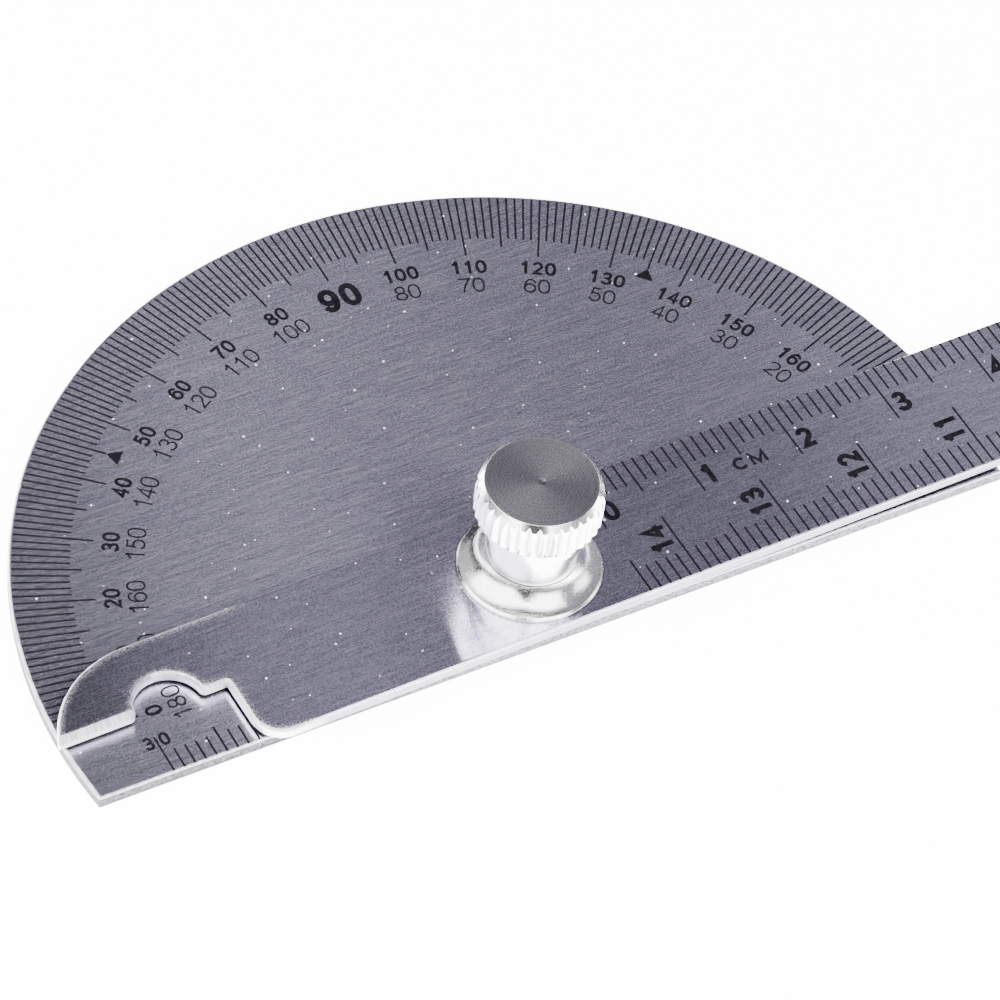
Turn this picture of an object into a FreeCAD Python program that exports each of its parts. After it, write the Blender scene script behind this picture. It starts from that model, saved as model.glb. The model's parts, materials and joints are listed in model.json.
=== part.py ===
import FreeCAD, Part
import math
import os

# Semicircular bevel protractor with a swinging rule, all sizes in millimetres.
# Frame: origin on the pivot axis at the underside of the plate, +Z up,
# +X along the straight base towards the rule's long end, +Y towards the rim.

# Protractor plate: a disc segment cut by the straight base
plate_radius = 44.65
plate_thickness = 1.2
base_drop = 6.6
plate_edge_round = 0.25

# Pivot stud: flush clinch head in the plate, plain shank standing up
stud_radius = 2.5
stud_head_radius = 3.95
stud_head_thickness = 0.6
stud_length = 10.6
stud_end_chamfer = 0.5

# Shim washer that keeps the rule off the marks on the plate
washer_radius = 6.35
washer_thickness = 0.3

# Rule arm
arm_width = 14.0
arm_thickness = 1.0
arm_reach = 153.2
arm_corner_radius = 0.4
arm_edge_round = 0.3
arm_rest_angle = 1.04

# Tail of the rule: rounded nose, index edge on the centreline, reading window
nose_radius = 10.0
nose_reach = 45.2
window_radius = 3.1
window_distance = 34.8
window_corner_radius = 0.5
tail_cut_distance = 29.3
tail_cut_corner_radius = 0.2
tail_corner_radius = 2.7
index_bevel_width = 0.6
index_bevel_depth = 0.4

# Flared collar under the nut
collar_radius = 6.35
collar_rim_height = 0.45
collar_rim_chamfer = 0.18
collar_height = 2.15
collar_cove_sag = 0.3

# Clamp nut: neck, lip and knurled head on one turned piece
neck_radius = 4.15
neck_length = 3.25
neck_base_chamfer = 0.2
lip_radius = 4.5
lip_length = 1.3
lip_step = 0.12
relief_depth = 0.14
relief_height = 0.3
head_underside_chamfer = 0.85
head_radius = 5.55
head_height = 4.34
head_crown_width = 0.17
head_crown_height = 0.78
head_top_chamfer_width = 0.45
head_top_chamfer_height = 0.62
tooth_count = 36
tooth_depth = 0.42
tooth_flank_angle = 47.0
dimple_radius = 0.4
dimple_depth = 0.12
nut_bore_depth = 7.4

# Fits
running_clearance = 0.05
collar_clearance = 0.1

# Levels and radii that follow from the sizes above
washer_top = plate_thickness + washer_thickness
arm_bottom = washer_top
arm_top = arm_bottom + arm_thickness
collar_top = arm_top + collar_height
head_bottom = neck_length + lip_step + lip_length
half_width = arm_width / 2
guide_bore_radius = stud_radius + running_clearance
collar_bore_radius = stud_radius + collar_clearance

UP = FreeCAD.Vector(0, 0, 1)
ORIGIN = FreeCAD.Vector(0, 0, 0)


def vec(x, y, z=0.0):
    return FreeCAD.Vector(x, y, z)


def line(start, end):
    return Part.makeLine(start, end)


def arc(start, middle, end):
    return Part.Arc(start, middle, end).toShape()


def cylinder(radius, bottom, height):
    return Part.makeCylinder(radius, height, vec(0, 0, bottom), UP)


def turned(points, bottom):
    """Revolve a closed outline of (radius, height) points about the pivot axis."""
    corners = [vec(radius, 0, bottom + height) for radius, height in points]
    outline = Part.makePolygon(corners + corners[:1])
    return Part.Face(outline).revolve(ORIGIN, UP, 360)


def extruded(edges, bottom, height):
    outline = Part.Wire(Part.__sortEdges__(edges))
    face = Part.Face(outline)
    face.translate(vec(0, 0, bottom))
    return face.extrude(vec(0, 0, height))


def top_edges(solid, level):
    """Edges lying in the plane z = level."""
    chosen = []
    for edge in solid.Edges:
        box = edge.BoundBox
        if box.ZMin > level - 1e-6 and box.ZMax < level + 1e-6:
            chosen.append(edge)
    return chosen


def protractor_plate():
    """Disc segment with a press hole and counterbore for the clinch stud."""
    corner_x = math.sqrt(plate_radius ** 2 - base_drop ** 2)
    left = vec(-corner_x, -base_drop)
    right = vec(corner_x, -base_drop)
    rim = arc(right, vec(0, plate_radius), left)
    plate = extruded([rim, line(left, right)], 0, plate_thickness)
    plate = plate.makeFillet(plate_edge_round, top_edges(plate, plate_thickness))
    plate = plate.cut(cylinder(stud_radius, 0, plate_thickness))
    return plate.cut(cylinder(stud_head_radius, 0, stud_head_thickness))


def pivot_stud():
    """Clinch stud: flush head, shank through plate, washer, rule, collar and nut."""
    tip = stud_length - stud_end_chamfer
    outline = [(0, 0), (stud_head_radius, 0), (stud_head_radius, stud_head_thickness),
               (stud_radius, stud_head_thickness), (stud_radius, tip),
               (stud_radius - stud_end_chamfer, stud_length), (0, stud_length)]
    return turned(outline, 0)


def pivot_washer():
    disc = cylinder(washer_radius, plate_thickness, washer_thickness)
    return disc.cut(cylinder(guide_bore_radius, plate_thickness, washer_thickness))


def window_corner(side):
    """Rounded corner between the window and the index line: middle, foot and side points."""
    radius = window_corner_radius
    reach = window_radius + radius
    centre = vec(side * math.sqrt(reach ** 2 - radius ** 2), radius)
    toward_window = centre * (-1 / reach)
    halfway = (toward_window + vec(0, -1)).normalize()
    window_centre = vec(-window_distance, 0)
    middle = window_centre + centre + halfway * radius
    foot = window_centre + centre + vec(0, -radius)
    edge = window_centre + centre + toward_window * radius
    return middle, foot, edge


def arm_outline():
    """Outline of the rule, walked clockwise from the nose tip on the index line."""
    nose_y = half_width - nose_radius
    nose_x = -nose_reach + math.sqrt(nose_radius ** 2 - nose_y ** 2)
    tip = vec(-nose_reach, 0)
    nose_end = vec(nose_x, half_width)
    tip_angle = math.atan2(-nose_y, -nose_reach - nose_x)
    nose_angle = (tip_angle + math.pi / 2) / 2
    nose_middle = vec(nose_x + nose_radius * math.cos(nose_angle),
                      nose_y + nose_radius * math.sin(nose_angle))
    end_x = arm_reach
    corner = arm_corner_radius
    bulge = corner * (1 - math.sqrt(0.5))
    upper_end = vec(end_x - corner, half_width)
    upper_side = vec(end_x, half_width - corner)
    lower_side = vec(end_x, corner - half_width)
    lower_end = vec(end_x - corner, -half_width)
    cut_x = -tail_cut_distance
    foot_end = vec(cut_x + tail_corner_radius, -half_width)
    foot_side = vec(cut_x, tail_corner_radius - half_width)
    foot_bulge = tail_corner_radius * (1 - math.sqrt(0.5))
    inner = tail_cut_corner_radius
    inner_bulge = inner * (1 - math.sqrt(0.5))
    cut_side = vec(cut_x, -inner)
    cut_end = vec(cut_x - inner, 0)
    left_corner, left_foot, left_side = window_corner(-1)
    right_corner, right_foot, right_side = window_corner(1)
    return [
        arc(tip, nose_middle, nose_end),
        line(nose_end, upper_end),
        arc(upper_end, vec(end_x - bulge, half_width - bulge), upper_side),
        line(upper_side, lower_side),
        arc(lower_side, vec(end_x - bulge, bulge - half_width), lower_end),
        line(lower_end, foot_end),
        arc(foot_end, vec(cut_x + foot_bulge, foot_bulge - half_width), foot_side),
        line(foot_side, cut_side),
        arc(cut_side, vec(cut_x - inner_bulge, -inner_bulge), cut_end),
        line(cut_end, right_foot),
        arc(right_foot, right_corner, right_side),
        arc(right_side, vec(-window_distance, window_radius), left_side),
        arc(left_side, left_corner, left_foot),
        line(left_foot, tip),
    ]


def index_bevel():
    """Wedge that thins the index edge between the nose tip and the window."""
    start_x = -nose_reach - index_bevel_width
    length = nose_reach - window_distance + index_bevel_width
    low = arm_top - index_bevel_depth
    section = Part.makePolygon([
        vec(start_x, 0, low),
        vec(start_x, index_bevel_width, arm_top),
        vec(start_x, 0, arm_top),
        vec(start_x, 0, low),
    ])
    return Part.Face(section).extrude(vec(length, 0, 0))


def ruler_arm():
    """Rule with rounded nose, stepped reading window and bevelled index edge."""
    arm = extruded(arm_outline(), arm_bottom, arm_thickness)
    arm = arm.makeFillet(arm_edge_round, top_edges(arm, arm_top))
    arm = arm.cut(index_bevel())
    arm = arm.cut(cylinder(guide_bore_radius, arm_bottom, arm_thickness))
    arm.rotate(ORIGIN, UP, arm_rest_angle)
    return arm


def thrust_collar():
    """Flared foot of the clamp: thin rim, hollow cove, flat top for the nut."""
    rim_shoulder = vec(collar_radius - collar_rim_chamfer, 0, collar_rim_height)
    rim_side = vec(collar_radius, 0, collar_rim_height - collar_rim_chamfer)
    cove_top = vec(neck_radius, 0, collar_height)
    run = cove_top - rim_shoulder
    inward = vec(-run.z, 0, run.x).normalize()
    cove_middle = rim_shoulder + run * 0.5 + inward * collar_cove_sag
    bore_top = vec(collar_bore_radius, 0, collar_height)
    bore_low = vec(collar_bore_radius, 0, 0)
    foot = vec(collar_radius, 0, 0)
    outline = Part.Wire([
        line(bore_low, foot),
        line(foot, rim_side),
        line(rim_side, rim_shoulder),
        arc(rim_shoulder, cove_middle, cove_top),
        line(cove_top, bore_top),
        line(bore_top, bore_low),
    ])
    collar = Part.Face(outline).revolve(ORIGIN, UP, 360)
    collar.translate(vec(0, 0, arm_top))
    return collar


def knurl_blank():
    """Star-shaped prism whose V grooves leave narrow lands on the head."""
    pitch = 2 * math.pi / tooth_count
    root_radius = head_radius - tooth_depth
    flank = math.tan(math.radians(tooth_flank_angle))
    rise = root_radius * math.tan(pitch / 2) / (flank - math.tan(pitch / 2))
    peak_radius = math.hypot(root_radius + rise, rise * flank)
    corners = []
    for tooth in range(tooth_count):
        root = tooth * pitch
        peak = root + pitch / 2
        corners.append(vec(root_radius * math.cos(root), root_radius * math.sin(root)))
        corners.append(vec(peak_radius * math.cos(peak), peak_radius * math.sin(peak)))
    star = Part.Face(Part.makePolygon(corners + corners[:1]))
    star.translate(vec(0, 0, collar_top))
    return star.extrude(vec(0, 0, head_bottom + head_height))


def clamp_nut():
    """Turned nut: neck, stepped lip, relief, knurled head with crown and chamfer, blind bore."""
    head_top = head_bottom + head_height
    face_radius = head_radius - head_crown_width - head_top_chamfer_width
    lip_bottom = neck_length + lip_step
    outline = [
        (0, 0),
        (neck_radius - neck_base_chamfer, 0),
        (neck_radius, neck_base_chamfer),
        (neck_radius, neck_length),
        (lip_radius, lip_bottom),
        (lip_radius, head_bottom - relief_height),
        (lip_radius - relief_depth, head_bottom - relief_height / 2),
        (head_radius - head_underside_chamfer, head_bottom),
        (head_radius, head_bottom + head_underside_chamfer),
        (head_radius, head_top - head_top_chamfer_height - head_crown_height),
        (head_radius - head_crown_width, head_top - head_top_chamfer_height),
        (face_radius, head_top),
        (dimple_radius, head_top),
        (0, head_top - dimple_depth),
    ]
    nut = turned(outline, collar_top).common(knurl_blank())
    return nut.cut(cylinder(guide_bore_radius, collar_top, nut_bore_depth))


def main():
    os.makedirs("parts", exist_ok=True)
    pieces = {
        "protractor_plate": protractor_plate(),
        "pivot_stud": pivot_stud(),
        "pivot_washer": pivot_washer(),
        "ruler_arm": ruler_arm(),
        "thrust_collar": thrust_collar(),
        "clamp_nut": clamp_nut(),
    }
    for name, shape in pieces.items():
        if not shape.isValid() or len(shape.Solids) != 1:
            raise RuntimeError(name + " is not one valid solid")
        shape.Solids[0].exportStep("parts/" + name + ".step")


main()
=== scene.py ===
import json
import math

import bmesh
import bpy
from mathutils import Matrix, Vector


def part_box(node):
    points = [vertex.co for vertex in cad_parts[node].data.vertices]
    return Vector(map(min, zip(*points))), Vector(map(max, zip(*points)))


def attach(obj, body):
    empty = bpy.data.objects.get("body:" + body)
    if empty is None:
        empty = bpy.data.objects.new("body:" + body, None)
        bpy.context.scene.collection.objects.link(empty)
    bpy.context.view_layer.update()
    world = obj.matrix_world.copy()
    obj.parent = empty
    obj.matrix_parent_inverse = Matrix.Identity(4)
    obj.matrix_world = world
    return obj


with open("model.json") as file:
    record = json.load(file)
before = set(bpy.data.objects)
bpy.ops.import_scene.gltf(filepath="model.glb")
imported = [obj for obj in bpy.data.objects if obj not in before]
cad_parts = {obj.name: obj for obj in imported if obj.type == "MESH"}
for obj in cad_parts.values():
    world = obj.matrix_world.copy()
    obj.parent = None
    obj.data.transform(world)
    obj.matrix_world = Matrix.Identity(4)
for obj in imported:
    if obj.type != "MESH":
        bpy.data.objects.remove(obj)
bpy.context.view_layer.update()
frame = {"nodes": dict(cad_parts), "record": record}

MM = 0.001

# ---------------------------------------------------------------- levels and axes
plate_low, plate_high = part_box("protractor_plate")
plate_top = plate_high.z
base_y = plate_low.y
rule_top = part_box("ruler_arm")[1].z
nut_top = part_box("clamp_nut")[1].z
mounts = {mount["name"]: mount for mount in frame["record"]["mounts"]}
edge_normal = mounts["rule_edge"]["axis"]
edge_point = mounts["rule_edge"]["pos_m"]
rule_angle = math.atan2(-edge_normal[0], edge_normal[1])
rule_half_width = edge_normal[0] * edge_point[0] + edge_normal[1] * edge_point[1]

# ---------------------------------------------------------------- graduations, sizes in mm
# ink above the metal, below it, and between strokes that cross
INK_HEIGHT = 0.014
INK_SINK = 0.02
INK_LAYER = 0.004
TICK_WIDTH = 0.17

# degree scale: radii, and the sizes of its marks
DEGREE_TICK_OUTER = 44.32
DEGREE_TICK_LONG = 37.37
DEGREE_TICK_MIDDLE = 38.34
DEGREE_TICK_SHORT = 39.36
OUTER_NUMBER_RADIUS = 35.95
OUTER_NUMBER_HEIGHT = 1.54
INNER_NUMBER_RADIUS = 33.78
INNER_NUMBER_HEIGHT = 1.68
RIGHT_ANGLE_RADIUS = 35.15
RIGHT_ANGLE_HEIGHT = 2.75
TRIANGLE_APEX = 38.3
TRIANGLE_BASE = 37.0
TRIANGLE_WIDTH = 1.7

# scale along the plate's base; tick lengths by the step they mark
BASE_ZERO = 7.2
BASE_SCALE_LENGTH = 30
BASE_EDGE_GAP = 0.15
BASE_TICKS = {10: 4.0, 5: 3.0, 1: 2.25}
BASE_NUMBER_HEIGHT = 1.36
BASE_NUMBER_FOOT = 2.85
BASE_NUMBER_GAP = 0.28

# both scales of the rule
RULE_SCALE_START = 8.2
RULE_SCALE_LENGTH = 145
RULE_EDGE_GAP = 0.14
UPPER_TICKS = {10: 6.1, 5: 3.82, 1: 2.78}
LOWER_TICKS = {10: 6.95, 5: 3.85, 1: 2.86}
UPPER_NUMBER_HEIGHT = 2.28
UPPER_NUMBER_FOOT = 1.33
UPPER_NUMBER_GAP = 0.5
LOWER_NUMBER_HEIGHT = 2.25
LOWER_NUMBER_CENTRE = -2.14
LOWER_NUMBER_GAP = 0.44

# the unit, its widths and gap as shares of its height
UNIT_LEFT = 21.9
UNIT_FOOT = 1.57
UNIT_HEIGHT = 1.4
UNIT_WIDTHS = {"C": 0.98, "M": 1.12}
UNIT_GAP = 0.24

# stroke widths, and the digits' width and advance, as shares of their height
BOLD = 0.212
SEMIBOLD = 0.175
LIGHT = 0.095
DIGIT_WIDTH = 0.66
DIGIT_ADVANCE = 0.75
CURVE_STEPS = 14
MITRE_LIMIT = 0.45


def arc_points(cu, cv, ru, rv, start, end):
    """Points of an elliptic arc in the unit square, angles in degrees."""
    points = []
    for step in range(CURVE_STEPS + 1):
        angle = math.radians(start + (end - start) * step / CURVE_STEPS)
        points.append((cu + ru * math.cos(angle), cv + rv * math.sin(angle)))
    return points


def oval(cu, cv, ru, rv, power=2.0):
    """Closed oval; a power over 2 gives straighter sides."""
    points = []
    for step in range(2 * CURVE_STEPS):
        angle = math.pi * step / CURVE_STEPS
        across = math.copysign(abs(math.cos(angle)) ** (2 / power), math.cos(angle))
        up = math.copysign(abs(math.sin(angle)) ** (2 / power), math.sin(angle))
        points.append((cu + ru * across, cv + rv * up))
    return points


def glyph(character):
    """Centrelines of a plain sans serif character in a unit square, as (points, closed).

    A height below 0 or above 1 is a square end, which reaches the foot or top of the ink.
    """
    if character == "0":
        return [(oval(0.5, 0.5, 0.5, 0.5, 2.35), True)]
    if character == "1":
        return [([(0.12, 0.74), (0.42, 0.84), (0.62, 1.06)], False),
                ([(0.62, -0.1), (0.62, 1.1)], False)]
    if character == "2":
        top = arc_points(0.5, 0.70, 0.46, 0.30, 168, -28)
        return [(top + [(0.66, 0.40), (0.30, 0.18), (0.08, 0.0), (1.08, 0.0)], False)]
    if character == "3":
        upper = arc_points(0.48, 0.755, 0.40, 0.245, 165, -90)
        lower = arc_points(0.48, 0.255, 0.50, 0.255, 90, -165)
        return [(upper + lower[1:], False)]
    if character == "4":
        return [([(0.74, -0.1), (0.74, 1.0), (0.0, 0.27), (1.12, 0.27)], False)]
    if character == "5":
        bowl = arc_points(0.48, 0.325, 0.50, 0.325, 132, -160)
        return [([(0.98, 1.0), (0.24, 1.0)] + bowl, False)]
    if character == "6":
        back = arc_points(0.56, 0.42, 0.56, 0.58, 38, 180)
        return [(back[:-1] + [(0.0, 0.36)], False), (oval(0.5, 0.32, 0.5, 0.32), True)]
    if character == "7":
        return [([(-0.08, 1.0), (1.0, 1.0), (0.62, 0.56), (0.40, 0.2), (0.36, -0.1)], False)]
    if character == "8":
        return [(oval(0.5, 0.755, 0.41, 0.245), True), (oval(0.5, 0.255, 0.5, 0.255), True)]
    if character == "9":
        return [([(1 - u, 1 - v) for u, v in points], closed) for points, closed in glyph("6")]
    if character == "C":
        return [(arc_points(0.5, 0.5, 0.5, 0.5, 38, 322), False)]
    if character == "M":
        return [([(0, -0.1), (0, 1.0), (0.5, 0.05), (1.0, 1.0), (1.0, -0.1)], False)]
    raise ValueError("no glyph for " + character)


def mitred_sides(points, width, closed):
    """Left and right offset points along a centreline, with mitred corners."""
    count = len(points)
    left = []
    right = []
    for index in range(count):
        here = Vector(points[index])
        before = Vector(points[index - 1]) if index or closed else None
        after = Vector(points[(index + 1) % count]) if index < count - 1 or closed else None
        arriving = (here - before).normalized() if before is not None else None
        leaving = (after - here).normalized() if after is not None else arriving
        if arriving is None:
            arriving = leaving
        normal_in = Vector((-arriving.y, arriving.x))
        normal_out = Vector((-leaving.y, leaving.x))
        mitre = (normal_in + normal_out).normalized()
        reach = width / 2 / max(mitre.dot(normal_in), MITRE_LIMIT)
        left.append(here + mitre * reach)
        right.append(here - mitre * reach)
    return left, right


def add_ribbon(mesh, points, width, closed, place, level, layer=0):
    """Closed thin ribbon of ink along points (mm), moved by place, lying on level (m).

    Strokes that cross lie one INK_LAYER above the other, and an open stroke rises by
    half of one along its length, so that no two faces coincide.
    """
    left, right = mitred_sides(points, width, closed)
    low = level - INK_SINK * MM
    rise = 0 if closed else 0.5 * INK_LAYER / len(points)
    rings = []
    for index, (side_a, side_b) in enumerate(zip(left, right)):
        high = level + (INK_HEIGHT + INK_LAYER * layer + rise * index) * MM
        ring = []
        for point, height in ((side_a, low), (side_b, low), (side_b, high), (side_a, high)):
            moved = place @ Vector((point.x * MM, point.y * MM, 0))
            ring.append(mesh.verts.new((moved.x, moved.y, height)))
        rings.append(ring)
    spans = len(rings) if closed else len(rings) - 1
    for index in range(spans):
        ring = rings[index]
        following = rings[(index + 1) % len(rings)]
        for corner in range(4):
            beside = (corner + 1) % 4
            mesh.faces.new((ring[corner], ring[beside], following[beside], following[corner]))
    if not closed:
        mesh.faces.new(rings[0][::-1])
        mesh.faces.new(rings[-1])


def add_character(mesh, character, left, foot, height, weight, place, level, width=DIGIT_WIDTH):
    """One character whose ink box starts at (left, foot), in mm."""
    stroke = weight * height
    box_width = width * height - stroke
    box_height = height - stroke
    bottom = foot + stroke / 2
    top = bottom + box_height
    for layer, (points, closed) in enumerate(glyph(character)):
        placed = []
        for u, v in points:
            y = bottom + v * box_height
            y = min(max(y, foot if v < 0 else bottom), foot + height if v > 1 else top)
            placed.append((left + stroke / 2 + u * box_width, y))
        add_ribbon(mesh, placed, stroke, closed, place, level, layer)


def add_text(mesh, text, left, foot, height, weight, place, level):
    """Digits in a row, all with the same advance, the first one starting at left."""
    for character in text:
        add_character(mesh, character, left, foot, height, weight, place, level)
        left += DIGIT_ADVANCE * height


def add_number(mesh, text, centre, foot, height, weight, place, level):
    """A row of digits centred on centre."""
    length = DIGIT_ADVANCE * height * (len(text) - 1) + DIGIT_WIDTH * height
    add_text(mesh, text, centre - length / 2, foot, height, weight, place, level)


def add_tick(mesh, start, end, place, level):
    add_ribbon(mesh, [start, end], TICK_WIDTH, False, place, level)


def tick_length(lengths, millimetre):
    for step in (10, 5):
        if millimetre % step == 0:
            return lengths[step]
    return lengths[1]


def ink_piece(name, body, mesh, material):
    """Closes a mesh of ink marks into a piece that rides on a body."""
    bmesh.ops.recalc_face_normals(mesh, faces=mesh.faces)
    data = bpy.data.meshes.new(name)
    mesh.to_mesh(data)
    mesh.free()
    data.materials.append(material)
    piece = bpy.data.objects.new(name, data)
    bpy.context.scene.collection.objects.link(piece)
    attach(piece, body)


def radial_place(degrees):
    """Turns marks drawn along +Y round the pivot to an angle counted from +X."""
    return Matrix.Rotation(math.radians(degrees - 90), 4, "Z")


def degree_scale(material):
    """Ticks each degree, two rows of numbers and the two 45 degree arrowheads."""
    ticks = bmesh.new()
    for degree in range(181):
        inner = DEGREE_TICK_SHORT
        if degree % 5 == 0:
            inner = DEGREE_TICK_MIDDLE
        if degree % 10 == 0:
            inner = DEGREE_TICK_LONG
        add_tick(ticks, (0, inner), (0, DEGREE_TICK_OUTER), radial_place(degree), plate_top)
    ink_piece("degree_ticks", "head", ticks, material)

    outer = bmesh.new()
    inner = bmesh.new()
    for degree in range(0, 181, 10):
        place = radial_place(degree)
        if degree == 90:
            foot = RIGHT_ANGLE_RADIUS - RIGHT_ANGLE_HEIGHT / 2
            add_number(outer, "90", 0, foot, RIGHT_ANGLE_HEIGHT, BOLD, place, plate_top)
            continue
        foot = OUTER_NUMBER_RADIUS - OUTER_NUMBER_HEIGHT / 2
        text = str(180 - degree)
        add_number(outer, text, 0, foot, OUTER_NUMBER_HEIGHT, SEMIBOLD, place, plate_top)
        foot = INNER_NUMBER_RADIUS - INNER_NUMBER_HEIGHT / 2
        add_number(inner, str(degree), 0, foot, INNER_NUMBER_HEIGHT, LIGHT, place, plate_top)
    ink_piece("degree_numbers_outer", "head", outer, material)
    ink_piece("degree_numbers_inner", "head", inner, material)

    arrows = bmesh.new()
    for degree in (45, 135):
        add_arrowhead(arrows, radial_place(degree))
    ink_piece("degree_arrowheads", "head", arrows, material)


def add_arrowhead(mesh, place):
    """Filled triangle that points outwards at a tick."""
    corners = [(-TRIANGLE_WIDTH / 2, TRIANGLE_BASE), (TRIANGLE_WIDTH / 2, TRIANGLE_BASE),
               (0, TRIANGLE_APEX)]
    low = []
    high = []
    for x, y in corners:
        moved = place @ Vector((x * MM, y * MM, 0))
        low.append(mesh.verts.new((moved.x, moved.y, plate_top - INK_SINK * MM)))
        high.append(mesh.verts.new((moved.x, moved.y, plate_top + INK_HEIGHT * MM)))
    mesh.faces.new(low[::-1])
    mesh.faces.new(high)
    for index in range(3):
        beside = (index + 1) % 3
        mesh.faces.new((low[index], low[beside], high[beside], high[index]))


def base_scale(material):
    """Millimetre scale along the base, counting outwards from both zeros."""
    marks = bmesh.new()
    place = Matrix.Identity(4)
    edge = base_y / MM + BASE_EDGE_GAP
    foot = base_y / MM + BASE_NUMBER_FOOT
    digit = DIGIT_WIDTH * BASE_NUMBER_HEIGHT
    for side in (-1, 1):
        for millimetre in range(BASE_SCALE_LENGTH + 1):
            x = side * (BASE_ZERO + millimetre)
            end = base_y / MM + tick_length(BASE_TICKS, millimetre)
            add_tick(marks, (x, edge), (x, end), place, plate_top)
            if millimetre % 10:
                continue
            right = x + BASE_NUMBER_GAP
            left = x - BASE_NUMBER_GAP - digit
            if millimetre:
                add_character(marks, str(millimetre // 10), left, foot,
                              BASE_NUMBER_HEIGHT, SEMIBOLD, place, plate_top)
            add_character(marks, "0", right if millimetre or side < 0 else left, foot,
                          BASE_NUMBER_HEIGHT, SEMIBOLD, place, plate_top)
    ink_piece("base_scale", "head", marks, material)


def rule_scales(material):
    """Upper scale counts outwards from the pivot, lower one inwards from the end."""
    place = Matrix.Rotation(rule_angle, 4, "Z")
    half = rule_half_width / MM
    upper = bmesh.new()
    lower = bmesh.new()
    end_x = RULE_SCALE_START + RULE_SCALE_LENGTH
    for millimetre in range(RULE_SCALE_LENGTH):
        x = RULE_SCALE_START + millimetre
        end = half - tick_length(UPPER_TICKS, millimetre)
        add_tick(upper, (x, end), (x, half - RULE_EDGE_GAP), place, rule_top)
        if millimetre % 10 == 0:
            add_text(upper, str(millimetre // 10), x + UPPER_NUMBER_GAP, UPPER_NUMBER_FOOT,
                     UPPER_NUMBER_HEIGHT, BOLD, place, rule_top)
    for millimetre in range(1, RULE_SCALE_LENGTH + 1):
        x = end_x - millimetre
        end = tick_length(LOWER_TICKS, millimetre) - half
        add_tick(lower, (x, RULE_EDGE_GAP - half), (x, end), place, rule_top)
        if millimetre % 10 == 0:
            lower_number(lower, str(millimetre // 10), x - LOWER_NUMBER_GAP, place)
    unit_letters(upper, place)
    ink_piece("rule_upper_scale", "rule", upper, material)
    ink_piece("rule_lower_scale", "rule", lower, material)


def lower_number(mesh, text, foot_x, place):
    """Number turned a quarter turn, read upwards, its foot towards the tick."""
    turn = (place @ Matrix.Translation((foot_x * MM, LOWER_NUMBER_CENTRE * MM, 0))
            @ Matrix.Rotation(math.pi / 2, 4, "Z"))
    add_number(mesh, text, 0, 0, LOWER_NUMBER_HEIGHT, BOLD, turn, rule_top)


def unit_letters(mesh, place):
    left = UNIT_LEFT
    for letter, width in UNIT_WIDTHS.items():
        add_character(mesh, letter, left, UNIT_FOOT, UNIT_HEIGHT, BOLD, place, rule_top, width)
        left += (width + UNIT_GAP) * UNIT_HEIGHT


# ---------------------------------------------------------------- finishes
# colours are linear RGB
PLATE_LIGHT = (0.85, 0.815, 1.0)
PLATE_DARK = (0.335, 0.32, 0.415)
RULE_LIGHT = (0.82, 0.785, 0.975)
RULE_DARK = (0.32, 0.305, 0.395)
# near-white of the scratches and white flecks, and of the painted glints along the brushing
SCRATCH_AND_GLINT = (0.96, 0.93, 1.0)
# painted highlight on rims and sloped faces, hatched between these two colours by grinding marks
RIM_HIGHLIGHT_PALE = (0.97, 0.95, 1.0)
RIM_HIGHLIGHT_GREY = (0.64, 0.62, 0.70)
# cut walls in painted shade: both colours of their mottle, then, for the rule, the stamped end's
# wall in a painted highlight
PLATE_WALLS_IN_SHADE = (0.025, 0.024, 0.03), (0.17, 0.165, 0.195)
RULE_WALLS_IN_SHADE_AND_HIGHLIGHT = (0.20, 0.19, 0.235), (0.26, 0.25, 0.31), (0.98, 0.96, 1.0)
# painted shade on the sheets' faces turned towards +Y and in their gaps
PAINTED_SHADE_GREY = (0.03, 0.03, 0.035)
# painted shade in the creases and gaps of the nickel parts
CREASE_SHADE_GREY = (0.10, 0.10, 0.11)
STUD_GREY = (0.6, 0.6, 0.62)
WASHER_GREY = (0.35, 0.35, 0.36)
COLLAR_NICKEL = (0.97, 0.95, 0.98)
NUT_NICKEL = (0.90, 0.89, 0.91)
# the nut's end face, painted darker than its sides as shade, toned between these by the
# turning's rings and grit
SHADED_FACE_LIGHT = (0.35, 0.34, 0.385)
SHADED_FACE_DARK = (0.13, 0.125, 0.145)
FACE_CENTRE_SHADE = (0.16, 0.155, 0.18)
INK_LIGHT = (0.010, 0.009, 0.013)
INK_BLACK = (0.002, 0.002, 0.003)

PLATE_ROUGHNESS = 0.205
RULE_ROUGHNESS = 0.15
RIM_ROUGHNESS = 0.5
STUD_ROUGHNESS = 0.3
WASHER_ROUGHNESS = 0.4
COLLAR_ROUGHNESS = 0.17
NUT_SIDE_ROUGHNESS = 0.16
NUT_FACE_ROUGHNESS = 0.45
INK_ROUGHNESS = 0.7
INK_SPECULAR = 0.04
NUT_ANISOTROPY = 0.45

# noises in waves per metre; in a triple the second runs across the brushing
HAIR_WAVES = (300, 9800, 300)
STROKE_WAVES = (90, 1800, 90)
GLINT_WAVES = (300, 4600, 300)
SCRATCH_WAVES = (190, 3600, 190)
RIM_WAVES = (5200, 700, 700)
GRIT_WAVES = 9400
WALL_WAVES = 5200
FLECK_SIZE_WAVES = 400
STEEL_WAVES = 4000
COLLAR_WAVES = 7600
NUT_WAVES = 9000
INK_WAVES = 3000
SCRATCH_TURN = math.radians(7)

# shares of the noises in a tone, which add up to 1
HAIR_SHARE = 0.36
GRIT_SHARE = 0.59
STROKE_SHARE = 0.05
RING_SHARE = 0.2
NUT_GRIT_SHARE = 0.8

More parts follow.
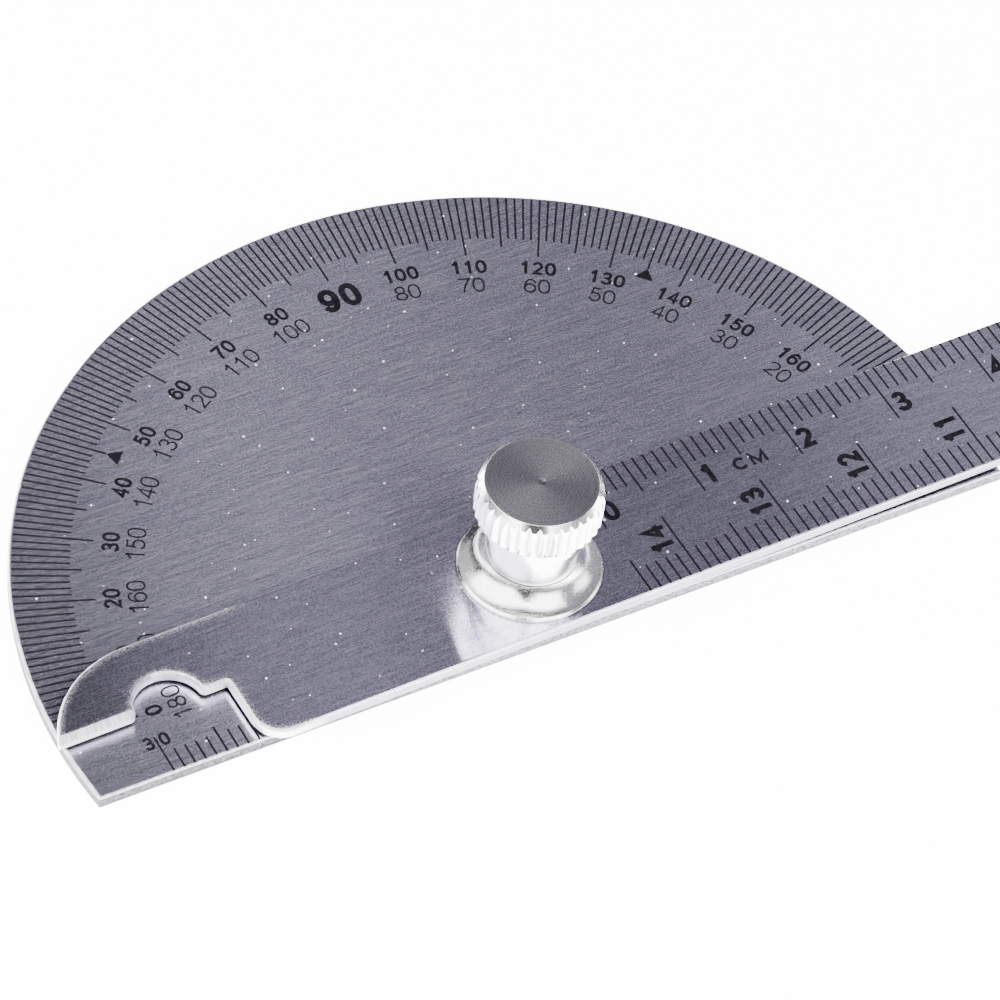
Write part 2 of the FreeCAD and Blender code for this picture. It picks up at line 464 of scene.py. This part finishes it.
# lowest and highest value of a noise, a normal's part or an openness that makes a difference
WHOLE = (0.0, 1.0)
BRUSH_WINDOW = (0.37, 0.63)
GLINT_WINDOW = (0.66, 0.74)
SCRATCH_WINDOW = (0.755, 0.785)
RIM_GRIT_WINDOW = (0.30, 0.60)
RIM_HATCH_WINDOW = (0.40, 0.60)
WALL_MOTTLE_WINDOW = (0.38, 0.62)
FLECK_SIZE_WINDOW = (0.38, 0.66)
RIM_WINDOW = (0.55, 0.98)
LEVEL_WINDOW = (0.90, 0.99)
UPRIGHT_WINDOW = (0.15, 0.35)
REAR_WINDOW = (0.05, 0.35)
SHEET_GAP_WINDOW = (0.28, 0.80)
NICKEL_ROUGH_WINDOW = (0.3, 0.7)
NICKEL_TONE_WINDOW = (0.35, 0.65)
NICKEL_GAP_WINDOW = (0.25, 0.8)
NUT_FACING_WINDOW = (0.9, 0.98)
NUT_FACE_WINDOW = (0.38, 0.62)
NUT_SIDE_WINDOW = (0.4, 0.6)
NUT_GAP_WINDOW = (0.30, 0.80)
INK_WINDOW = (0.3, 0.7)

# how much of an effect is seen at most or at least, and the strength of the bumps
GLINT_MOST = 0.5
SCRATCH_MOST = 0.4
RIM_LEAST, RIM_MOST = 0.2, 0.75
PLAIN_SLOPE = 0.3
REAR_SHADE = 0.25
GAP_SHADE = 0.05
FLECK_LEAST = 0.15
NICKEL_ROUGH_LEAST, NICKEL_ROUGH_MOST = 0.8, 1.25
NICKEL_SHADE = 0.62
NUT_SHADE = 0.9
SHEET_BUMP = 0.03
STEEL_BUMP = 0.1
COLLAR_BUMP = 0.6
NUT_BUMP = 0.1

# lengths in metres
# white dots, up to one in each square of the spacing; the core is a share of the radius
FLECK_SPACING = 0.0040
FLECK_RADIUS = 0.00013
FLECK_CORE = 0.6
# x where the stamped end begins, its length of change, and how far in its rim gets the painted
# highlight
STAMPED_FROM = -0.0262
STAMPED_FADE = 0.003
PLATE_ROLLED = 0.0003
RULE_ROLLED = 0.0009
# reach of the painted shade in gaps, and radii of softened edges; the stamped one is a share
SHEET_GAP = 0.0008
NICKEL_GAP = 0.0004
NUT_GAP = 0.0009
SHEET_EDGE = 0.00008
ROLLED_EDGE = 0.42
NICKEL_EDGE = 0.00006
NUT_EDGE = 0.00007
# the nut's turned end face and the mark at its centre, painted darker as shade
FACE_RADIUS = 0.00493
FACE_WINDOW = (FACE_RADIUS - 0.00012, FACE_RADIUS - 0.00006)
FACE_LEVEL_WINDOW = (nut_top - 0.0002, nut_top - 0.0001)
CENTRE_WINDOW = (0.00025, 0.0005)
# heights of the bumps
FINE_BUMP = 0.000004
COARSE_BUMP = 0.00002


def new_material(name, colour, metallic, roughness):
    material = bpy.data.materials.new(name)
    material.use_nodes = True
    shader = material.node_tree.nodes["Principled BSDF"]
    shader.inputs["Base Color"].default_value = (*colour, 1)
    shader.inputs["Metallic"].default_value = metallic
    shader.inputs["Roughness"].default_value = roughness
    return material, shader


def new_node(owner, kind, **settings):
    """Node in a material or a world, with settings such as its operation."""
    node = owner.node_tree.nodes.new("ShaderNode" + kind)
    for setting, value in settings.items():
        setattr(node, setting, value)
    return node


def feed(owner, value, socket):
    """Gives a socket another node's output or a plain value; a colour is an RGB triple."""
    if isinstance(value, bpy.types.NodeSocket):
        owner.node_tree.links.new(value, socket)
    elif socket.type == "RGBA":
        socket.default_value = (*value, 1)
    else:
        socket.default_value = value


def object_place(owner):
    return new_node(owner, "TexCoord").outputs["Object"]


def split_vector(owner, vector):
    node = new_node(owner, "SeparateXYZ")
    feed(owner, vector, node.inputs[0])
    return node.outputs


def object_normal(owner):
    return split_vector(owner, new_node(owner, "TexCoord").outputs["Normal"])


def to_world(owner, direction):
    """World direction of an object-space one."""
    node = new_node(owner, "VectorTransform", vector_type="VECTOR",
                    convert_from="OBJECT", convert_to="WORLD")
    feed(owner, direction, node.inputs[0])
    return node.outputs[0]


def vector_math(owner, operation, *values):
    node = new_node(owner, "VectorMath", operation=operation)
    for socket, value in zip(node.inputs, values):
        feed(owner, value, socket)
    return node.outputs


def grain(owner, waves, detail=2.0, angle=0.0):
    """Noise in object space; a triple of waves stretches it, along an angle round Z."""
    turn = new_node(owner, "Mapping")
    turn.inputs["Rotation"].default_value = (0, 0, -angle)
    stretch = new_node(owner, "Mapping")
    even = not isinstance(waves, tuple)
    stretch.inputs["Scale"].default_value = (waves,) * 3 if even else waves
    noise = new_node(owner, "TexNoise")
    noise.inputs["Scale"].default_value = 1.0
    noise.inputs["Detail"].default_value = detail
    feed(owner, object_place(owner), turn.inputs["Vector"])
    feed(owner, turn.outputs["Vector"], stretch.inputs["Vector"])
    feed(owner, stretch.outputs["Vector"], noise.inputs["Vector"])
    return noise.outputs["Fac"]


def ranged(owner, value, window, low=0.0, high=1.0):
    """Goes from low to high while value crosses the window, and stays level outside it."""
    node = new_node(owner, "MapRange")
    node.inputs["From Min"].default_value = window[0]
    node.inputs["From Max"].default_value = window[1]
    node.inputs["To Min"].default_value = low
    node.inputs["To Max"].default_value = high
    feed(owner, value, node.inputs["Value"])
    return node.outputs["Result"]


def combined(owner, operation, first, second):
    """Math node on two values; each is a socket or a number."""
    node = new_node(owner, "Math", operation=operation)
    feed(owner, first, node.inputs[0])
    feed(owner, second, node.inputs[1])
    return node.outputs[0]


def weighted_sum(owner, *parts):
    """Sum of (weight, value) pairs."""
    total = None
    for weight, value in parts:
        scaled = combined(owner, "MULTIPLY", value, weight)
        total = scaled if total is None else combined(owner, "ADD", total, scaled)
    return total


def mixed(owner, factor, first, second, kind="RGBA", blend="MIX"):
    """Colour or VECTOR that goes from first to second; each is a socket or a triple."""
    node = new_node(owner, "Mix", data_type=kind, blend_type=blend)
    slots = [socket for socket in node.inputs if socket.type == kind][-2:]
    feed(owner, factor, node.inputs[0])
    feed(owner, first, slots[0])
    feed(owner, second, slots[1])
    return [socket for socket in node.outputs if socket.type == kind][0]


def crease_shade(owner, distance):
    """1 on open surface, falling towards 0 in gaps and creases narrower than distance."""
    node = new_node(owner, "AmbientOcclusion", samples=8)
    node.inputs["Distance"].default_value = distance
    return node.outputs["AO"]


def edge_nearness(owner, distance):
    """1 at the rim of a sheet, 0 further in than distance, found from inside the sheet."""
    node = new_node(owner, "AmbientOcclusion", samples=12, inside=True, only_local=True)
    node.inputs["Distance"].default_value = distance
    return ranged(owner, node.outputs["AO"], RIM_WINDOW, 1.0, 0.0)


def soft_edges(owner, radius):
    node = new_node(owner, "Bevel", samples=6)
    feed(owner, radius, node.inputs["Radius"])
    return node.outputs["Normal"]


def bumped(owner, height, strength, distance, normal):
    node = new_node(owner, "Bump")
    node.inputs["Strength"].default_value = strength
    node.inputs["Distance"].default_value = distance
    feed(owner, height, node.inputs["Height"])
    feed(owner, normal, node.inputs["Normal"])
    return node.outputs["Normal"]


def flecks(owner):
    """Sparse round dots seen from above, up to one in each square of FLECK_SPACING."""
    node = new_node(owner, "TexVoronoi", voronoi_dimensions="2D")
    node.inputs["Scale"].default_value = 1 / FLECK_SPACING
    feed(owner, object_place(owner), node.inputs["Vector"])
    size = ranged(owner, grain(owner, FLECK_SIZE_WAVES, 1.0), FLECK_SIZE_WINDOW, FLECK_LEAST)
    distance = combined(owner, "DIVIDE", node.outputs["Distance"], size)
    edge = (FLECK_CORE * FLECK_RADIUS / FLECK_SPACING, FLECK_RADIUS / FLECK_SPACING)
    return ranged(owner, distance, edge, 1.0, 0.0)


def brushed_colour(owner, grit, angle, light, dark):
    """Hairlines over a fine grit and longer strokes, with glints and slanting scratches."""
    hair = grain(owner, HAIR_WAVES, 2.0, angle)
    stroke = grain(owner, STROKE_WAVES, 2.0, angle)
    tone = weighted_sum(owner, (HAIR_SHARE, hair), (GRIT_SHARE, grit), (STROKE_SHARE, stroke))
    colour = mixed(owner, ranged(owner, tone, BRUSH_WINDOW), dark, light)
    # painted glints: thin near-white lines along the brushing stand in for highlights
    glint = grain(owner, GLINT_WAVES, 1.0, angle)
    glint = ranged(owner, glint, GLINT_WINDOW, 0.0, GLINT_MOST)
    colour = mixed(owner, glint, colour, SCRATCH_AND_GLINT)
    scratch = grain(owner, SCRATCH_WAVES, 1.0, angle + SCRATCH_TURN)
    scratch = ranged(owner, scratch, SCRATCH_WINDOW, 0.0, SCRATCH_MOST)
    return mixed(owner, scratch, colour, SCRATCH_AND_GLINT)


def sheet_steel(name, angle, light, dark, roughness, walls, rolled):
    """Steel sheet brushed along one direction, with its cut walls in painted shade.

    From STAMPED_FROM towards -X it is the stamped end: its edges are rolled over, with a
    painted highlight towards the rim; sloped faces elsewhere get less of it. Faces turned
    towards +Y outside that end, and gaps everywhere, get painted shade.
    """
    material, shader = new_material(name, light, 1.0, roughness)
    shader.inputs["Anisotropic"].default_value = 1.0
    across = to_world(material, (-math.sin(angle), math.cos(angle), 0))
    feed(material, across, shader.inputs["Tangent"])

    grit = grain(material, GRIT_WAVES, 1.0)
    # white non-metal dots, up to one in each square of FLECK_SPACING
    white_flecks = flecks(material)
    colour = brushed_colour(material, grit, angle, light, dark)
    colour = mixed(material, white_flecks, colour, SCRATCH_AND_GLINT)
    feed(material, ranged(material, white_flecks, WHOLE, 1.0, 0.0), shader.inputs["Metallic"])

    along = split_vector(material, object_place(material))["X"]
    stamped = ranged(material, along, (STAMPED_FROM, STAMPED_FROM + STAMPED_FADE), 1.0, 0.0)
    normal = object_normal(material)
    # painted highlight: pale towards the rim of the stamped end and on sloped faces, hatched by
    # grinding marks; the same mask makes these rougher
    near_rim_highlight = combined(material, "MULTIPLY", edge_nearness(material, rolled),
                    ranged(material, grit, RIM_GRIT_WINDOW, RIM_LEAST, RIM_MOST))
    near_rim_highlight = combined(material, "MULTIPLY", near_rim_highlight, stamped)
    slope_highlight = combined(material, "MULTIPLY", ranged(material, normal["Z"], LEVEL_WINDOW, 1.0, 0.0),
                     ranged(material, stamped, WHOLE, PLAIN_SLOPE, 1.0))
    rim = combined(material, "MAXIMUM", near_rim_highlight, slope_highlight)
    hatch = ranged(material, grain(material, RIM_WAVES, 2.0, angle), RIM_HATCH_WINDOW)
    colour = mixed(material, rim, colour, mixed(material, hatch, RIM_HIGHLIGHT_GREY, RIM_HIGHLIGHT_PALE))

    # painted shade on the upright cut walls, mottled; the stamped end's walls, where a third
    # colour is given, get a painted highlight
    mottle = ranged(material, grain(material, WALL_WAVES), WALL_MOTTLE_WINDOW)
    wall = mixed(material, mottle, walls[0], walls[1])
    if len(walls) > 2:
        wall = mixed(material, stamped, wall, walls[2])
    upright = ranged(material, normal["Z"], UPRIGHT_WINDOW, 1.0, 0.0)
    colour = mixed(material, upright, colour, wall)
    # painted shade on faces turned towards +Y, outside the stamped end
    rear_shade = ranged(material, normal["Y"], REAR_WINDOW, 1.0, REAR_SHADE)
    colour = mixed(material, combined(material, "MAXIMUM", rear_shade, stamped), PAINTED_SHADE_GREY, colour)
    # painted shade in gaps narrower than SHEET_GAP
    gap = ranged(material, crease_shade(material, SHEET_GAP), SHEET_GAP_WINDOW, GAP_SHADE)
    feed(material, mixed(material, gap, PAINTED_SHADE_GREY, colour), shader.inputs["Base Color"])

    rough = ranged(material, rim, WHOLE, roughness, RIM_ROUGHNESS)
    feed(material, rough, shader.inputs["Roughness"])
    radius = ranged(material, stamped, WHOLE, SHEET_EDGE, ROLLED_EDGE * rolled)
    bump = bumped(material, grit, SHEET_BUMP, FINE_BUMP, soft_edges(material, radius))
    feed(material, bump, shader.inputs["Normal"])
    return material


def satin_nickel(name, colour, roughness, waves, bump):
    """Plate or plain steel with a fine grit that breaks up its highlights."""
    material, shader = new_material(name, colour, 1.0, roughness)
    grit = grain(material, waves)
    rough = ranged(material, grit, NICKEL_ROUGH_WINDOW,
                   roughness * NICKEL_ROUGH_LEAST, roughness * NICKEL_ROUGH_MOST)
    feed(material, rough, shader.inputs["Roughness"])
    shaded = tuple(NICKEL_SHADE * part for part in colour)
    toned = mixed(material, ranged(material, grit, NICKEL_TONE_WINDOW), shaded, colour)
    # painted shade in creases narrower than the given reach
    gap = ranged(material, crease_shade(material, NICKEL_GAP), NICKEL_GAP_WINDOW)
    feed(material, mixed(material, gap, CREASE_SHADE_GREY, toned), shader.inputs["Base Color"])
    normal = bumped(material, grit, bump, COARSE_BUMP, soft_edges(material, NICKEL_EDGE))
    feed(material, normal, shader.inputs["Normal"])
    return material


def bright_nickel(name):
    """Bright plate on the nut; its end face keeps the rings left by turning, painted darker than
    the sides as shade.
    """
    material, shader = new_material(name, NUT_NICKEL, 1.0, 0.1)
    shader.inputs["Anisotropic"].default_value = NUT_ANISOTROPY
    place = object_place(material)
    outward = vector_math(material, "MULTIPLY", place, (1, 1, 0))[0]
    distance = vector_math(material, "LENGTH", outward)["Value"]
    facing = ranged(material, object_normal(material)["Z"], NUT_FACING_WINDOW)
    tangent = mixed(material, facing, (0, 0, 1), outward, "VECTOR")
    feed(material, to_world(material, tangent), shader.inputs["Tangent"])

    level = ranged(material, split_vector(material, place)["Z"], FACE_LEVEL_WINDOW)
    within = ranged(material, distance, FACE_WINDOW, 1.0, 0.0)
    face = combined(material, "MULTIPLY", combined(material, "MULTIPLY", level, facing), within)

    rings = new_node(material, "TexNoise", noise_dimensions="1D")
    rings.inputs["Scale"].default_value = NUT_WAVES
    rings.inputs["Detail"].default_value = 2.0
    feed(material, distance, rings.inputs["W"])
    grit = grain(material, NUT_WAVES)
    turned = weighted_sum(material, (RING_SHARE, rings.outputs["Fac"]), (NUT_GRIT_SHARE, grit))
    face_tone = ranged(material, turned, NUT_FACE_WINDOW)
    shaded_face_colour = mixed(material, face_tone, SHADED_FACE_DARK, SHADED_FACE_LIGHT)
    shaded = tuple(NUT_SHADE * part for part in NUT_NICKEL)
    side = mixed(material, ranged(material, grit, NUT_SIDE_WINDOW), shaded, NUT_NICKEL)
    # painted shade in the nut's creases narrower than NUT_GAP
    gap = ranged(material, crease_shade(material, NUT_GAP), NUT_GAP_WINDOW)
    side = mixed(material, gap, CREASE_SHADE_GREY, side)
    colour = mixed(material, face, side, shaded_face_colour)
    # painted shade in the centre mark of the end face
    colour = mixed(material, ranged(material, distance, CENTRE_WINDOW), FACE_CENTRE_SHADE, colour)
    feed(material, colour, shader.inputs["Base Color"])
    rough = ranged(material, face, WHOLE, NUT_SIDE_ROUGHNESS, NUT_FACE_ROUGHNESS)
    feed(material, rough, shader.inputs["Roughness"])
    bump = bumped(material, turned, NUT_BUMP, FINE_BUMP, soft_edges(material, NUT_EDGE))
    feed(material, bump, shader.inputs["Normal"])
    return material


def black_ink(name):
    """Matt ink with a faint grain."""
    material, shader = new_material(name, (0.004, 0.004, 0.006), 0.0, INK_ROUGHNESS)
    shade = ranged(material, grain(material, INK_WAVES), INK_WINDOW)
    colour = mixed(material, shade, INK_BLACK, INK_LIGHT)
    feed(material, colour, shader.inputs["Base Color"])
    shader.inputs["Specular IOR Level"].default_value = INK_SPECULAR
    return material


def dress(node, material):
    slots = frame["nodes"][node].data.materials
    slots.clear()
    slots.append(material)


dress("protractor_plate", sheet_steel("plate_steel", 0.0, PLATE_LIGHT, PLATE_DARK,
                                      PLATE_ROUGHNESS, PLATE_WALLS_IN_SHADE, PLATE_ROLLED))
dress("ruler_arm", sheet_steel("rule_steel", rule_angle, RULE_LIGHT, RULE_DARK,
                               RULE_ROUGHNESS, RULE_WALLS_IN_SHADE_AND_HIGHLIGHT, RULE_ROLLED))
dress("pivot_stud", satin_nickel("stud_steel", STUD_GREY, STUD_ROUGHNESS,
                                 STEEL_WAVES, STEEL_BUMP))
dress("pivot_washer", satin_nickel("washer_steel", WASHER_GREY, WASHER_ROUGHNESS,
                                   STEEL_WAVES, STEEL_BUMP))
dress("thrust_collar", satin_nickel("collar_nickel", COLLAR_NICKEL, COLLAR_ROUGHNESS,
                                    COLLAR_WAVES, COLLAR_BUMP))
dress("clamp_nut", bright_nickel("nut_nickel"))

ink = black_ink("black_ink")
degree_scale(ink)
base_scale(ink)
rule_scales(ink)

# ---------------------------------------------------------------- floor, light, camera
FLOOR_SIZE = 6.0
FLOOR_GLOW = 12.0
ROOM_STRENGTH = 1.25
# (part of the view direction, colour) along Z, and (part, factor on that colour) along X
ROOM_BY_HEIGHT = ((0.0, (0.48, 0.47, 0.51)), (1.0, (0.26, 0.255, 0.29)))
ROOM_BY_SIDE = ((0.296, 0.10), (0.335, 1.08), (0.37, 0.60), (0.405, 0.54), (0.435, 1.1))

# name, bearing and elevation in degrees, width and height in metres, brightness
SOFTBOXES = (("left_softbox", -56, 46, (1.9, 1.5), 9.0),
             ("far_left_softbox", -126, 40, (0.9, 1.1), 0.8),
             ("right_softbox", 41, 46, (1.05, 1.3), 9.5),
             ("side_softbox", 108, 22, (0.6, 0.6), 5.0))
SOFTBOX_DISTANCE = 1.4

CAMERA_TARGET = Vector((1.85, 8.5, plate_top / MM)) * MM
CAMERA_DISTANCE = 0.5466
CAMERA_AZIMUTH = math.radians(34.61)
CAMERA_ELEVATION = math.radians(49.24)
CAMERA_ROLL = math.radians(8.12)
CAMERA_LENS = 226.6
CAMERA_SENSOR = 36


def studio_floor():
    bpy.ops.mesh.primitive_plane_add(size=FLOOR_SIZE, location=(0, 0, 0))
    floor = bpy.context.object
    floor.name = "studio_floor"
    material, shader = new_material("floor_white", (0.9, 0.9, 0.9), 0.0, 0.9)
    shader.inputs["Emission Color"].default_value = (1, 1, 1, 1)
    shader.inputs["Emission Strength"].default_value = FLOOR_GLOW
    floor.data.materials.append(material)


def room_ramp(world, position, stops):
    """Colour that follows a position through (stop, RGB) pairs."""
    ramp = new_node(world, "ValToRGB")
    elements = ramp.color_ramp.elements
    while len(elements) < len(stops):
        elements.new(0.5)
    for element, (stop, colour) in zip(elements, stops):
        element.position = stop
        element.color = (*colour, 1)
    feed(world, position, ramp.inputs["Fac"])
    return ramp.outputs["Color"]


def studio_world():
    """Grey room, darker overhead and towards -X, with a dimmer strip on its +X side."""
    world = bpy.data.worlds.new("studio_world")
    bpy.context.scene.world = world
    world.use_nodes = True
    direction = split_vector(world, new_node(world, "TexCoord").outputs["Generated"])
    by_height = room_ramp(world, direction["Z"], ROOM_BY_HEIGHT)
    factors = [(stop, (factor,) * 3) for stop, factor in ROOM_BY_SIDE]
    by_side = room_ramp(world, direction["X"], factors)
    colour = mixed(world, 1.0, by_height, by_side, blend="MULTIPLY")
    background = world.node_tree.nodes["Background"]
    feed(world, colour, background.inputs["Color"])
    background.inputs["Strength"].default_value = ROOM_STRENGTH


def softbox(name, bearing, elevation, size, brightness):
    """Rectangular light aimed at the pivot, its bearing counted to the right of the camera's."""
    light = bpy.data.lights.new(name, "AREA")
    light.shape = "RECTANGLE"
    light.size, light.size_y = size
    light.energy = brightness * math.pi * size[0] * size[1]
    lamp = bpy.data.objects.new(name, light)
    turn = math.radians(bearing) - CAMERA_AZIMUTH - math.pi / 2
    rise = math.radians(elevation)
    direction = Vector((math.cos(turn) * math.cos(rise), math.sin(turn) * math.cos(rise),
                        math.sin(rise)))
    lamp.location = direction * SOFTBOX_DISTANCE
    lamp.rotation_euler = (-direction).to_track_quat("-Z", "Y").to_euler()
    bpy.context.scene.collection.objects.link(lamp)


def studio_camera():
    data = bpy.data.cameras.new("camera")
    data.lens = CAMERA_LENS
    data.sensor_width = CAMERA_SENSOR
    data.clip_start = 0.01
    data.clip_end = 20
    camera = bpy.data.objects.new("camera", data)
    flat = math.cos(CAMERA_ELEVATION)
    forward = Vector((math.sin(CAMERA_AZIMUTH) * flat, math.cos(CAMERA_AZIMUTH) * flat,
                      -math.sin(CAMERA_ELEVATION)))
    camera.location = CAMERA_TARGET - forward * CAMERA_DISTANCE
    level = forward.to_track_quat("-Z", "Y")
    roll = Matrix.Rotation(CAMERA_ROLL, 4, "Z")
    camera.matrix_world = Matrix.Translation(camera.location) @ level.to_matrix().to_4x4() @ roll
    bpy.context.scene.collection.objects.link(camera)
    bpy.context.scene.camera = camera


studio_floor()
studio_world()
for name, bearing, elevation, size, brightness in SOFTBOXES:
    softbox(name, bearing, elevation, size, brightness)
studio_camera()
